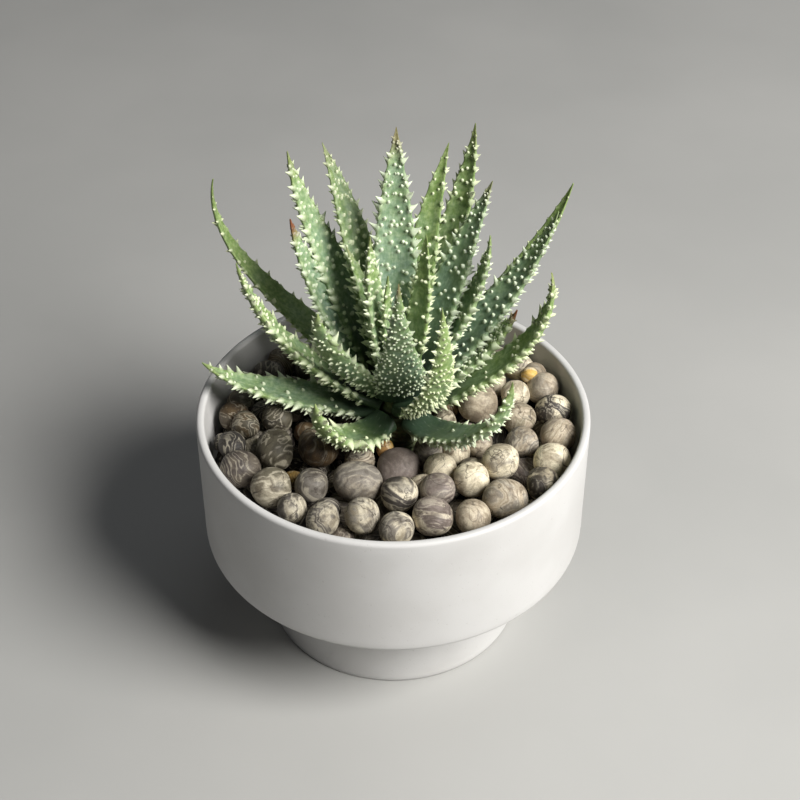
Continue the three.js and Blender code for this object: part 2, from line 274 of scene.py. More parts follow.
def mix_body():
    """Rings whose height is the mix's top plus crumbs of two sizes, closed below by the bowl's inside. The
    lower rings are given as shares of the mix's radius and height."""
    radius = (mix_high.x - mix_low.x) / 2
    ring = np.linspace(0.02, 1, MIX_RINGS)[:, None]
    turn = full_turn(MIX_SIDES)[None, :]
    x, y = ring * radius * np.cos(turn), ring * radius * np.sin(turn)
    flat = np.stack([x, y, 0 * x], -1)
    crumbs = COARSE_CRUMB * waves(flat, 420, 9, 3) + FINE_CRUMB * waves(flat, 1500, 14, 4)
    top = np.stack([x, y, mix_high.z + 2 * MM + crumbs * (ring < 0.99)], -1)
    below = np.array([
        (0.995, 0.72), (0.97, 0.69), (0.66, 0.645), (0.645, 0.6), (0.645, 0.04), (0.62, 0.0), (0.02, 0.0)])
    out, height = below[:, :1] * radius, mix_low.z + below[:, 1:] * (mix_high.z - mix_low.z)
    side = np.stack([out * np.cos(turn), out * np.sin(turn), height + 0 * turn], -1)
    points = np.concatenate([top, side]).reshape(-1, 3) + AXIS
    return capped(points, MIX_RINGS + len(below), MIX_SIDES)


def mix_finish():
    material, tree, shader = new_finish("potting_mix_crumb")
    place = put(tree, "TexCoord").outputs["Object"]
    crumb = noise(tree, place, 700.0, 5.0, 0.65)
    fleck = noise(tree, place, 1900.0, 2.0)
    tone = mix(tree, between(tree, crumb, 0.35, 0.7), (0.006, 0.005, 0.004, 1), (0.04, 0.028, 0.018, 1))
    tone = mix(tree, between(tree, fleck, 0.68, 0.74, 0.0, 0.6), tone, (0.16, 0.11, 0.07, 1))
    feed(tree, shader, tone, between(tree, crumb, 0.3, 0.7, 0.75, 0.95), crumb, 0.8, 0.6 * MM)
    return material


mix_points, mix_triangles = mix_body()
stands_for(add_mesh("crumbly_mix", mix_points, mix_triangles, mix_finish()), "potting_mix", "potting_mix")

# --- Stem and roots ---------------------------------------------------------------------------------
# The plant's woody core: a short stem ringed by the scars and dry collars of old leaves, with roots
# that spread through the mix. It is one grown piece.

# Where the stem stands beside the bowl's axis, and its radius at each depth below its top.
STEM_MM = (2.0, 2.5)
STEM_DEPTHS_MM = [0, 1, 5, 10, 16, 27, 41, 50]
STEM_RADII_MM = [0.4, 1.6, 4, 6.2, 7.2, 6.4, 5.5, 3.2]
SCAR_SPACING_MM = 2.4
ROOT_COUNT, ROOT_DEPTH_MM = 6, 45
stem_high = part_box("stem_and_roots")[1]
CROWN = AXIS + np.array([STEM_MM[0] * MM, STEM_MM[1] * MM, stem_high.z - 1 * MM])


def normalised(ways):
    """The same directions, each with length 1: v / |v|."""
    return ways / np.maximum(np.linalg.norm(ways, axis=-1, keepdims=True), 1e-12)


def tube(path, radius, sides):
    """A tapering tube: at each point of the path a circle of the given radius in the plane across the
    path's direction, p + r (u cos t + v sin t), capped at both ends."""
    ahead = normalised(np.gradient(path, axis=0))
    u = normalised(np.cross(ahead, [0.31, 0.17, 0.93]))
    v = np.cross(ahead, u)
    turn = full_turn(sides)
    around = u[:, None] * np.cos(turn)[None, :, None] + v[:, None] * np.sin(turn)[None, :, None]
    points = path[:, None] + radius[:, None, None] * around
    return capped(points.reshape(-1, 3), len(path), sides)


def grow(heads, rise0, rise1, bend, sweep, length, start, steps=240):
    """The middle line of a growing part: the sum of short steps in the direction (cos e cos a, cos e sin a,
    sin e), where the heading a sweeps evenly and the rise e goes from rise0 to rise1 as s ** bend."""
    s = (np.arange(steps) + 0.5) / steps
    e = np.radians(rise0 + (rise1 - rise0) * s**bend)
    a = np.radians(heads + sweep * s)
    walk = np.stack([np.cos(e) * np.cos(a), np.cos(e) * np.sin(a), np.sin(e)], -1) * length / steps
    return np.concatenate([[start], start + np.cumsum(walk, 0)])


def stem_and_roots():
    """The stem is a tube whose radius follows the CAD stem's, times 1 + 0.07 sin(2 pi z / spacing) for the
    scars; each root is a tube along a middle line that dives and turns."""
    z = np.linspace(stem_high.z - STEM_DEPTHS_MM[-1] * MM, stem_high.z - 0.4 * MM, 140)
    shape = np.interp((stem_high.z - z) / MM, STEM_DEPTHS_MM, STEM_RADII_MM)
    rings = 1 + 0.07 * np.sin(z / MM * 2 * np.pi / SCAR_SPACING_MM)
    path = np.stack([CROWN[0] + 0 * z, CROWN[1] + 0 * z, z], -1)
    parts = [tube(path, shape * rings * MM, 48)]
    start = np.array([CROWN[0], CROWN[1], stem_high.z - ROOT_DEPTH_MM * MM])
    for k in range(ROOT_COUNT):
        length = (34 + 5 * (k % 3)) * MM
        root = grow(k * 60 + 15, -12, -62, 1.0, 25 if k % 2 else -20, length, start, 40)
        parts.append(tube(root, np.linspace(2.4, 0.6, 41) * MM, 12))
    shift = np.cumsum([0] + [len(points) for points, _ in parts[:-1]])
    triangles = [t + n for (_, t), n in zip(parts, shift)]
    return np.concatenate([p for p, _ in parts]), np.concatenate(triangles)


def stem_finish():
    material, tree, shader = new_finish("fibrous_stem")
    place = put(tree, "TexCoord").outputs["Object"]
    stretched = put(tree, "Mapping", {"Vector": place, "Scale": (1.0, 1.0, 0.25)}).outputs[0]
    fibre = noise(tree, stretched, 1400.0, 4.0, 0.6)
    blotch = noise(tree, place, 240.0, 3.0)
    tone = mix(tree, between(tree, blotch, 0.35, 0.65), (0.05, 0.06, 0.025, 1), (0.13, 0.17, 0.07, 1))
    tone = mix(tree, between(tree, fibre, 0.45, 0.75, 0.0, 0.7), tone, (0.2, 0.15, 0.08, 1))
    feed(tree, shader, tone, between(tree, fibre, 0.3, 0.7, 0.6, 0.85), fibre, 0.6, 0.4 * MM)
    return material


stem_points, stem_triangles = stem_and_roots()
stands_for(add_mesh("woody_stem", stem_points, stem_triangles, stem_finish()), "stem", "stem_and_roots")

# --- Pebbles ----------------------------------------------------------------------------------------
# Tumbled pebbles of banded stone, matte and fine-grained, with swirling bands like those of wood. They
# lie loose on the mix. Each has its own pair of colours and its own cut through the bands.

CREAM, TAN, OLIVE = (0.88, 0.79, 0.59), (0.5, 0.42, 0.31), (0.26, 0.23, 0.155)
PLUM, GREY, SLATE = (0.25, 0.205, 0.18), (0.3, 0.27, 0.23), (0.1, 0.088, 0.078)
AMBER, RUST, OCHRE = (0.36, 0.24, 0.12), (0.26, 0.12, 0.045), (0.72, 0.46, 0.12)

# For each pebble: its main colour, the colour of its bands and patches, and how strong the bands are.
TOP_PEBBLES = [
    (SLATE, GREY, 0.8), (PLUM, TAN, 0.6), (CREAM, OLIVE, 0.9), (GREY, CREAM, 0.9), (GREY, CREAM, 0.8),
    (CREAM, GREY, 0.9), (GREY, CREAM, 0.9), (PLUM, CREAM, 0.7), (TAN, CREAM, 0.5), (TAN, GREY, 0.8),
    (SLATE, CREAM, 0.9), (CREAM, OLIVE, 0.9), (TAN, PLUM, 0.6), (SLATE, CREAM, 1.0), (TAN, GREY, 0.6),
    (OLIVE, AMBER, 0.7), (OLIVE, GREY, 0.8), (OLIVE, SLATE, 0.9), (AMBER, SLATE, 0.7), (GREY, OLIVE, 0.8),
    (GREY, TAN, 0.45), (TAN, SLATE, 0.9), (PLUM, SLATE, 0.12), (SLATE, CREAM, 0.8), (PLUM, GREY, 0.6),
    (CREAM, OLIVE, 0.7), (CREAM, TAN, 0.8), (CREAM, GREY, 0.8), (GREY, TAN, 0.8), (TAN, OLIVE, 0.7),
    (TAN, CREAM, 0.4),
]


# How lumpy and how square a stone is, then the seeds and grids of the top stones and of the bed.
LUMP_HEIGHT, LUMP_FREQUENCY = 0.022, 1.7
ROUND_SHARE, SQUARE_SHARE, SQUARENESS = 0.45, 0.55, 2.3
TOP_SEED, TOP_GRID = 40, (38, 54)
BED_SEED, BED_GRID = 7, (22, 30)


def stones(centres, radii, seed, rows, columns):
    """Rounded stones: on each unit sphere direction d, the radius is 1 plus low lumps, the cube-like part
    of d is pressed out a little, and the result is scaled by the stone's three radii."""
    draw = np.random.default_rng(seed)
    polar = np.linspace(0, np.pi, rows)[:, None]
    turn = full_turn(columns)[None, :]
    out = np.sin(polar)
    ring = np.stack([out * np.cos(turn), out * np.sin(turn), np.cos(polar) + 0 * turn], -1)
    unit = np.concatenate([[[0, 0, 1]], ring[1:-1].reshape(-1, 3), [[0, 0, -1]]])
    count = len(centres)
    ways = draw.normal(size=(count, 5, 3)) * LUMP_FREQUENCY
    phase = draw.uniform(0, 2 * np.pi, (count, 5))
    lumps = np.sin(np.einsum("vk,nwk->nvw", unit, ways) + phase[:, None]).sum(-1) * LUMP_HEIGHT
    swell = 1 / (np.abs(unit) ** SQUARENESS).sum(-1) ** (1 / SQUARENESS)
    shape = unit[None] * (1 + lumps)[..., None] * (ROUND_SHARE + SQUARE_SHARE * swell)[None, :, None]
    shape /= np.abs(shape).max(1, keepdims=True)
    points = centres[:, None] + shape * radii[:, None]
    spin = np.linalg.qr(draw.normal(size=(count, 3, 3)))[0]
    cut = np.einsum("nvk,nkm->nvm", points - centres[:, None], spin) + draw.uniform(-1, 1, (count, 1, 3))
    inner = grid_triangles(rows - 2, columns) + 1
    j = np.arange(columns)
    cap = np.stack([0 * j, j + 1, (j + 1) % columns + 1], -1)
    last = (rows - 3) * columns + 1
    foot = np.stack([0 * j + len(unit) - 1, last + (j + 1) % columns, last + j], -1)
    one = outward(unit, np.concatenate([inner, cap[:, ::-1], foot[:, ::-1]]))
    triangles = (one[None] + (np.arange(count) * len(unit))[:, None, None]).reshape(-1, 3)
    return points.reshape(-1, 3), triangles, cut.reshape(-1, 3), len(unit)


def stone_finish():
    """Bands: a soft noise field, folded many times by a sine, gives lines that swirl like wood grain.
    Patches of the second colour and a fine salt-and-pepper grain go over it."""
    material, tree, shader = new_finish("banded_pebble", Specular_IOR_Level=0.35)
    place = attribute(tree, "cut").outputs["Vector"]
    main = attribute(tree, "main_colour").outputs["Color"]
    second = attribute(tree, "band_colour").outputs["Color"]
    strength = attribute(tree, "band_strength").outputs["Fac"]
    field = noise(tree, place, 44.0, 4.0, 0.52, 0.9)
    fold = calc(tree, "SINE", times(tree, field, 34.0))
    fine = calc(tree, "SINE", times(tree, field, 120.0))
    broken = noise(tree, place, 190.0, 3.0, 0.6, 0.5)
    patch = times(tree, between(tree, fold, -0.4, 0.6), between(tree, broken, 0.38, 0.58, 0.15, 1.0))
    line = times(tree, between(tree, fine, 0.1, 0.95), between(tree, broken, 0.56, 0.4))
    vein = calc(tree, "ABSOLUTE", calc(tree, "SUBTRACT", noise(tree, place, 85.0, 3.0, 0.5, 1.0), 0.5))
    vein = times(tree, between(tree, vein, 0.014, 0.0), strength)
    grain = noise(tree, place, 2300.0, 2.0, 0.7)
    tone = mix(tree, times(tree, patch, strength), main, second)
    dark = mix(tree, 1.0, tone, (0.3, 0.27, 0.24, 1), "MULTIPLY")
    tone = mix(tree, times(tree, line, times(tree, strength, 0.8)), tone, dark)
    pale = times(tree, between(tree, fine, -0.3, -0.95), times(tree, strength, 0.45))
    tone = mix(tree, pale, tone, (0.78, 0.71, 0.55, 1))
    cloud = noise(tree, place, 120.0, 4.0, 0.6, 0.8)
    tone = mix(tree, between(tree, cloud, 0.44, 0.68, 0.0, 0.75), tone, dark)
    tone = mix(tree, vein, tone, (0.04, 0.03, 0.024, 1))
    tone = mix(tree, between(tree, grain, 0.3, 0.6, 0.3, 0.0), tone, (0.05, 0.045, 0.04, 1))
    tone = mix(tree, between(tree, grain, 0.62, 0.8, 0.0, 0.25), tone, (0.85, 0.8, 0.7, 1))
    height = calc(tree, "ADD", times(tree, grain, 0.35), times(tree, line, -0.5))
    feed(tree, shader, tone, between(tree, grain, 0.3, 0.7, 0.5, 0.72), height, 0.35, 0.12 * MM)
    return material


def paint(per_stone, count):
    """One stone's value repeated for each of its vertices."""
    return np.repeat(np.asarray(per_stone, float), count, axis=0)


def painted_shade_factor(centre):
    """The share of its colour that a stone keeps under painted shade: all of it high up on the right, about
    a third either low down between the stones or on the left, away from the light, and a tenth where it is
    both."""
    x, z = centre[..., 0] / MM, centre[..., 2] / MM
    return np.interp(x, [-55, 8], [0.3, 1.0]) * np.interp(z, [69, 77], [0.35, 1.0])


banded_stone = stone_finish()
pebble_centres, pebble_radii = [], []
for index, (main, band, strength) in enumerate(TOP_PEBBLES):
    node = f"pebble_{index + 1:02d}"
    low, high = (np.array(corner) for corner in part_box(node))
    pebble_centres.append((low + high) / 2)
    pebble_radii.append((high - low) / 2)
    points, triangles, cut, count = stones(
        pebble_centres[-1][None], pebble_radii[-1][None], TOP_SEED + index, *TOP_GRID)
    # Painted shade: a stone on the left or low down keeps only part of its colour.
    shade_factor = painted_shade_factor(pebble_centres[-1])
    stone = add_mesh(
        f"top_{node}", points, triangles, banded_stone,
        numbers={"band_strength": np.full(count, strength)},
        colours={"main_colour": paint([main], count) * shade_factor, "band_colour": paint([band], count) * shade_factor},
        vectors={"cut": cut})
    stands_for(stone, "pebble", node)

# The rest of the pebbles: those at the back and the left, the small amber bits, and a lower layer that is
# seen dark through the gaps. Each row is x, y, height and diameter in mm, then the two colours.
OTHER_PEBBLES_MM = [
    (57, 31, 83, 10.5, TAN, GREY), (53, 42, 82, 11, CREAM, TAN), (45, 20, 82, 10, CREAM, TAN),
    (50.5, 26, 86, 6, OCHRE, CREAM), (48, 33, 84, 9.5, CREAM, GREY), (-58, 9, 80, 11, AMBER, TAN),
    (-45, 45, 80, 10.5, TAN, AMBER), (-47, 34, 80, 11, GREY, SLATE), (-54, 26, 77, 11, OLIVE, GREY),
    (-38, 31, 76, 9, OLIVE, SLATE), (-47, 15, 76, 11, GREY, SLATE), (-58, 20, 78, 10, TAN, SLATE),
    (-32, 4, 77, 8, AMBER, RUST), (-61, -3, 78, 8, SLATE, GREY), (-3, -8.5, 80, 7, OCHRE, RUST),
    (-35, -23, 78, 7, OCHRE, RUST), (31, -4, 78, 10, TAN, GREY), (7, -26, 76, 7, RUST, OLIVE),
]


# The loose stones start in an upper and a lower layer, and lie higher behind the plant than before it.
LOOSE_COUNT, LOOSE_SEED = 118, 11
LOOSE_RADII_MM, LOOSE_REACH_MM = (4.6, 6.8), 60
LAYERS_MM, BACK_LAYERS_MM, BACK_FROM_MM = (77, 70), (80, 71), 22
HIGHEST_MM = 84.5
STEM_GAP_MM = 8
SETTLING_STEPS, CLOSENESS, TINY = 160, 0.97, 1e-9


def settle(fixed, fixed_r, loose, loose_r, wall, floor, ceiling):
    """Loose stones pushed off each other and off fixed ones, in steps: each overlapping pair moves apart
    along its line, then every stone is put back inside the bowl, clear of the stem."""
    for _ in range(SETTLING_STEPS):
        everything, sizes = np.concatenate([fixed, loose]), np.concatenate([fixed_r, loose_r])
        line = loose[:, None] - everything[None]
        apart = np.linalg.norm(line, axis=-1) + TINY
        short = np.maximum((loose_r[:, None] + sizes[None]) * CLOSENESS - apart, 0)
        short[np.arange(len(loose)), len(fixed) + np.arange(len(loose))] = 0
        loose = loose + 0.5 * np.einsum("nm,nmk->nk", short / apart, line)
        out = np.linalg.norm(loose[:, :2], axis=1)
        loose[:, :2] *= np.minimum(1, (wall - loose_r) / np.maximum(out, TINY))[:, None]
        from_stem = loose[:, :2] - CROWN[:2]
        near = np.linalg.norm(from_stem, axis=1)
        push = np.maximum(1, (STEM_GAP_MM * MM + loose_r) / np.maximum(near, TINY))
        loose[:, :2] = CROWN[:2] + from_stem * push[:, None]
        loose[:, 2] = np.clip(loose[:, 2], floor + loose_r, ceiling - loose_r)
    return loose


def loose_pebbles():
    """The listed stones, then a seeded scatter of others settled among and below them."""
    draw = np.random.default_rng(LOOSE_SEED)
    listed = np.array([row[:3] for row in OTHER_PEBBLES_MM]) * MM + AXIS
    listed_r = np.array([row[3] for row in OTHER_PEBBLES_MM]) * MM / 2
    out = np.linalg.norm(listed[:, :2], axis=1)
    listed[:, :2] *= np.minimum(1, (RIM_R - WALL_MM * MM - 0.6 * MM - 1.1 * listed_r) / out)[:, None]
    fixed = np.concatenate([np.array(pebble_centres), listed])
    fixed_r = np.concatenate([np.array(pebble_radii).mean(1), listed_r])
    count = LOOSE_COUNT
    radius = draw.uniform(*LOOSE_RADII_MM, count) * MM
    reach = np.sqrt(draw.uniform(0.03, 1, count)) * LOOSE_REACH_MM * MM
    turn = draw.uniform(0, 2 * np.pi, count)
    height = np.where(draw.uniform(size=count) < 0.22, *LAYERS_MM) * MM
    start = np.stack([reach * np.cos(turn), reach * np.sin(turn), height], -1) + AXIS
    behind = start[:, 1] > BACK_FROM_MM * MM
    start[behind, 2] = np.where(draw.uniform(size=behind.sum()) < 0.6, *BACK_LAYERS_MM) * MM
    wall, floor = RIM_R - WALL_MM * MM - 1 * MM, mix_high.z + 1 * MM
    placed = settle(fixed, fixed_r, start, radius, wall, floor, HIGHEST_MM * MM)
    shape = draw.uniform(0.88, 1.08, (count, 3))
    centres = np.concatenate([listed, placed])
    listed_shape = draw.uniform(0.9, 1.1, (len(listed), 3))
    radii = np.concatenate([listed_r[:, None] * listed_shape, radius[:, None] * shape])
    tones = np.array([CREAM, TAN, OLIVE, PLUM, GREY, SLATE, TAN, AMBER])
    main = np.concatenate([[row[4] for row in OTHER_PEBBLES_MM], tones[draw.integers(0, 8, count)]])
    band = np.concatenate([[row[5] for row in OTHER_PEBBLES_MM], tones[draw.integers(0, 6, count)]])
    # Painted shade: stones on the left and low down keep only part of their colour.
    shade_factor = painted_shade_factor(centres)[:, None]
    return centres, radii, main * shade_factor, band * shade_factor


bed_centres, bed_radii, bed_main, bed_band = loose_pebbles()
points, triangles, cut, count = stones(bed_centres, bed_radii, BED_SEED, *BED_GRID)
bed = add_mesh(
    "lower_pebbles", points, triangles, banded_stone,
    numbers={"band_strength": np.full(len(points), 0.75)},
    colours={"main_colour": paint(bed_main, count), "band_colour": paint(bed_band, count)},
    vectors={"cut": cut})
stands_for(bed, "pebble", "pebble_bed")

# --- Leaves -----------------------------------------------------------------------------------------
# Fleshy leaves, flat or hollowed above and bellied below, with soft pale teeth along both margins and
# pale bumps on the faces, densest below. A waxy bloom makes the skin blue-green where it is thick.

# How a leaf grows: heading, rise at its base and at its tip, bend, sweep, length and width in mm, whorl,
# roll, the share of its length that tapers and how full the taper is. Most leaves taper alike.
Leaf = namedtuple(
    "Leaf", "heads rise tip_rise bend sweep length width whorl roll tapers fullness", defaults=(0.65, 1.7))

# One row a leaf, youngest first.
LEAF_GROWTH = [
    (149, 81, 94, 1.5, 1, 46, 6, 0, 0),
    (276, 70, 92, 1.8, -20, 58, 17, 1, 0, 0.72, 0.78),
    (145, 77, 92, 2.2, 8, 62, 10, 1, 0),
    (48, 71, 87, 1.2, 5, 60, 9, 1, 0),
    (125, 69, 53, 1.5, 9, 55, 8, 2, 0),
    (178, 39, 93, 2.0, 14, 46, 13, 2, 50),
    (27, 53, 91, 2.6, -14, 68, 10, 2, 0),
    (46, 61, 58, 1.5, -5, 81, 14, 2, 0),
    (66, 48, 85, 2.4, -14, 99, 13, 2, 0),
    (75, 65, 49, 1.5, -11, 89, 12, 2, 0),
    (96, 72, 69, 1.5, -10, 94, 16, 2, 0),
    (114, 61, 50, 1.5, 12, 91, 13, 2, 0),
    (122, 50, 81, 2.8, 34, 95, 14, 3, 0),
    (140, 48, 80, 2.4, 20, 74, 13, 3, 0),
    (33, 37, 69, 2.6, -10, 85, 14, 3, 0),
    (22, 29, 72, 2.6, -20, 51, 12, 3, 0),
    (303, 35, 107, 1.1, -9, 66, 13, 3, 0, 0.75, 1.2),
    (44, 27, 66, 1.7, -16, 98, 13, 4, 0),
    (130, 18, 102, 2.4, 46, 110, 14, 4, 0, 0.95, 1.5),
    (165, 24, 78, 1.5, 3, 76, 13, 4, 20),
    (3, 27, 102, 2.0, -4, 78, 12, 4, 0),
    (166, 5, 50, 2.8, 25, 67, 14, 5, 0),
    (228, -2, 87, 1.1, 2, 50, 13, 5, 0),
    (312, 9, 86, 1.2, 6, 68, 13, 5, 0),
]

# How a leaf looks: bumps on its upper face, spacing in mm of the spines on its lower face, size of its
# teeth, tone from blue-green (0) to yellow-green (1), how dark its skin is, how dry its tip is.
Look = namedtuple("Look", "bumps spacing teeth tone shade dry")
LEAF_LOOKS = [
    (8, 2.8, 0.7, 0.6, 0.0, 0.1), (0, 1.8, 0.6, 0.3, 0.1, 0.5), (36, 2.2, 0.9, 0.5, 0.0, 0.2),
    (12, 2.6, 0.7, 0.8, 0.1, 0.1), (14, 2.8, 0.8, 0.6, 0.4, 0.2), (26, 2.1, 1.2, 0.5, 0.0, 0.1),
    (26, 2.3, 1.0, 0.4, 0.1, 0.1), (46, 2.6, 0.9, 0.1, 0.35, 0.3), (36, 3.2, 1.0, 0.65, 0.1, 0.2),
    (16, 2.8, 0.6, 0.75, 0.15, 0.1), (84, 2.8, 1.1, 0.15, 0.0, 0.5), (76, 2.6, 0.8, 0.6, 0.4, 0.2),
    (56, 2.6, 1.15, 0.35, 0.0, 0.2), (50, 2.3, 1.0, 0.2, 0.0, 1.0), (50, 2.4, 0.9, 0.15, 0.35, 0.1),
    (70, 2.1, 1.2, 0.45, 0.0, 1.0), (12, 1.95, 0.9, 0.8, 0.0, 0.1), (4, 6.0, 0.35, 0.9, 0.0, 0.1),
    (4, 5.0, 0.55, 0.9, 0.05, 0.1), (44, 2.2, 1.05, 0.65, 0.0, 0.1), (22, 2.4, 1.05, 0.8, 0.0, 0.2),
    (16, 2.2, 1.1, 0.4, 0.0, 0.1), (14, 2.2, 1.35, 0.75, 0.0, 0.1), (4, 2.6, 0.8, 0.4, 0.0, 0.1),
]
LEAF_ROWS, LEAF_COLUMNS = 136, 48
# Steps along and round a leaf for its normals. Strong teeth stand closer together than weak ones.
STEP_ALONG, STEP_ROUND = 0.004, 0.03
STRONG_TOOTH, STRONG_PITCH_MM, WEAK_PITCH_MM = 0.6, 3.9, 5.4
SPINE_SEED, SWELL_SEED, RIPPLE_SEED = 200, 300, 400
SWELL_HEIGHT, RIPPLE_HEIGHT = 0.18 * MM, 0.05 * MM


def half_width(leaf, s):
    """Half the leaf's width: w/2 (1 - (1 - u)^fullness), where u is the distance to the tip over the share
    that tapers, at most 1, drawn in by an eighth at the very base."""
    u = np.minimum((1 - s) / leaf.tapers, 1)
    taper = 1 - (1 - u) ** leaf.fullness
    drawn_in = 0.88 + 0.12 * np.minimum(s / 0.2, 1)
    return (leaf.width / 2 * taper * drawn_in + 0.12) * MM


def leaf_point(leaf, line, s, turn):
    """The skin at s along the leaf and turn round it: the middle line, plus half the width times cos(turn)
    to the side, plus the thickness times sin(turn) upwards or downwards. The upper face is hollowed, and an
    older leaf thickens at its base to clasp the stem."""
    at = np.stack([np.interp(s, np.linspace(0, 1, len(line)), line[:, k]) for k in range(3)], -1)
    e = np.radians(leaf.rise + (leaf.tip_rise - leaf.rise) * s**leaf.bend)
    a = np.radians(leaf.heads + leaf.sweep * s)
    side = np.stack([-np.sin(a), np.cos(a), 0 * a], -1)
    up = np.stack([-np.sin(e) * np.cos(a), -np.sin(e) * np.sin(a), np.cos(e)], -1)
    half = half_width(leaf, s)
    below = 0.62 * (half / MM) ** 0.8 * MM + 0.35 * MM
    across, through = np.cos(turn), np.sin(turn)
    hollow = 0.26 * half * np.sin(turn) ** 3
    x = half * across
    clasp = 4.5 * MM * np.clip(1 - s / 0.15, 0, 1) ** 1.5 if leaf.whorl > 2 else 0
    z = np.where(through > 0, (0.22 * half + clasp) * through - hollow, below * through)
    roll = math.radians(leaf.roll)
    x, z = x * math.cos(roll) - z * math.sin(roll), x * math.sin(roll) + z * math.cos(roll)
    return at + side * x[..., None] + up * z[..., None]


def leaf_frame(leaf, line, s, turn):
    """The skin point, its outward normal and the direction to the tip, from small steps along and round."""
    here = leaf_point(leaf, line, s, turn)
    beyond, before = np.minimum(s + STEP_ALONG, 1), s - STEP_ALONG
    ahead = leaf_point(leaf, line, beyond, turn) - leaf_point(leaf, line, before, turn)
    around = leaf_point(leaf, line, s, turn + STEP_ROUND) - leaf_point(leaf, line, s, turn - STEP_ROUND)
    return here, normalised(np.cross(around, ahead)), normalised(ahead)


def spread(count, draw):
    """Evenly scattered pairs from 0 to 1: the steps 0.7549 and 0.5698 taken round a circle, and a jitter."""
    k = np.arange(count)[:, None]
    start, jitter = draw.uniform(0, 1, 2), draw.uniform(-0.03, 0.03, (count, 2))
    return (k * np.array([0.7549, 0.5698]) + start + jitter) % 1


def spine_sites(leaf, look, draw):
    """Where the spines stand and how big they are: s, turn, length, breadth, blunt (1 is a round bump) and
    lean to the tip. Teeth go along both margins, bumps over the upper face, spines over the lower one."""
    pitch = STRONG_PITCH_MM if look.teeth > STRONG_TOOTH else WEAK_PITCH_MM
    count = int(leaf.length * 0.88 / pitch)
    s = np.tile((np.arange(count) + 0.5) / count * 0.86 + 0.11, 2) + draw.uniform(-0.012, 0.012, 2 * count)
    turn = np.repeat([0.0, np.pi], count) + draw.uniform(-0.2, 0.2, 2 * count)
    grown = np.interp(s, [0.1, 0.35, 0.7, 1.0], [0.8, 1.0, 0.95, 0.45]) * look.teeth
    tooth = 2.9 * grown * draw.uniform(0.75, 1.25, 2 * count)
    sites = [np.stack([s, turn, tooth, 0.3 * tooth + 0.35, 0 * s, 0 * s + 0.25], -1)]
    place = spread(look.bumps, draw)
    s = 0.2 + 0.75 * place[:, 0] ** 0.85
    turn = np.pi / 2 + (place[:, 1] - 0.5) * 2.3
    size = np.interp(s, [0.2, 0.6, 1.0], [0.85, 1.0, 0.6]) * draw.uniform(0.75, 1.25, len(s))
    sites.append(np.stack([s, turn, 1.25 * size, 0.8 * size, 0 * s + 0.7, 0 * s + 0.15], -1))
    place = spread(int(leaf.length * leaf.width * 0.78 / look.spacing**2), draw)
    s = 0.07 + 0.9 * (1 - (1 - place[:, 0]) ** 0.62)
    turn = 1.5 * np.pi + (place[:, 1] - 0.5) * 2.9
    size = np.interp(s, [0.05, 0.3, 0.7, 1.0], [0.85, 1.0, 0.9, 0.5]) * draw.uniform(0.7, 1.2, len(s))
    size = size * np.interp(look.spacing, [1.75, 2.4], [0.55, 1.0])
    sites.append(np.stack([s, turn, 1.95 * size, 0.62 * size + 0.2, 0 * s + 0.15, 0 * s + 0.25], -1))
    sites = np.concatenate(sites)
    narrow = half_width(leaf, sites[:, 0]) / MM
    sites[:, 2:4] *= np.clip(narrow / 1.5, 0.4, 1)[:, None]
    return sites


# Where a spine's rings stand along it, and how pale each ring is.
SPINE_T = np.array([-0.2, 0.08, 0.34, 0.66, 0.9])
SPINE_PALE = np.array([0.05, 0.4, 0.85, 1.0, 1.0])
SPINE_SIDES = 6
SPINE_BEND = 0.25


def spines(here, normal, ahead, sites):
    """Small bent cones: the axis leans from the normal to the tip, p = root + t L axis + t |t| L ahead / 4,
    with rings of a radius that flares at the foot and falls to the point; teeth are a little flattened."""
    size, breadth, blunt, lean = (sites[:, k, None] for k in (2, 3, 4, 5))
    axis = normal * np.sqrt(1 - lean**2) + ahead * lean
    side = normalised(np.cross(axis, ahead))
    front = np.cross(side, axis)
    sharp, round_ = np.array([1.6, 1.05, 0.68, 0.36, 0.14]), np.array([1.5, 1.1, 0.98, 0.78, 0.42])
    radius = breadth * (sharp + (round_ - sharp) * blunt) * MM
    flat = np.where(blunt == 0, 0.8, 1.0)
    turn = np.arange(SPINE_SIDES) / SPINE_SIDES * 2 * np.pi
    t = SPINE_T[None, :, None, None]
    rise = size[:, :, None, None] * MM
    middle = here[:, None, None] + axis[:, None, None] * t * rise
    middle = middle + ahead[:, None, None] * t * abs(t) * rise * SPINE_BEND
    across = side[:, None, None] * (flat * np.cos(turn))[:, None, :, None]
    circle = across + front[:, None, None] * np.sin(turn)[None, None, :, None]
    rings = (middle + circle * radius[:, :, None, None]).reshape(len(here), -1, 3)
    tip = (here + (axis + ahead * SPINE_BEND) * size * MM)[:, None]
    points = np.concatenate([rings, tip], 1)
    many = points.shape[1]
    wall = grid_triangles(len(SPINE_T), SPINE_SIDES)
    j = np.arange(SPINE_SIDES)
    last = (len(SPINE_T) - 1) * SPINE_SIDES
    cap = np.stack([last + j, last + (j + 1) % SPINE_SIDES, 0 * j + many - 1], -1)
    foot = np.stack([0 * j[:-2], j[2:], j[1:-1]], -1)
    one = outward(points[0] - points[0].mean(0), np.concatenate([wall, cap, foot]))
    triangles = (one[None] + (np.arange(len(here)) * many)[:, None, None]).reshape(-1, 3)
    pale = np.tile(np.append(np.repeat(SPINE_PALE, SPINE_SIDES), 1.0), len(here))
    return points.reshape(-1, 3), triangles, pale, many


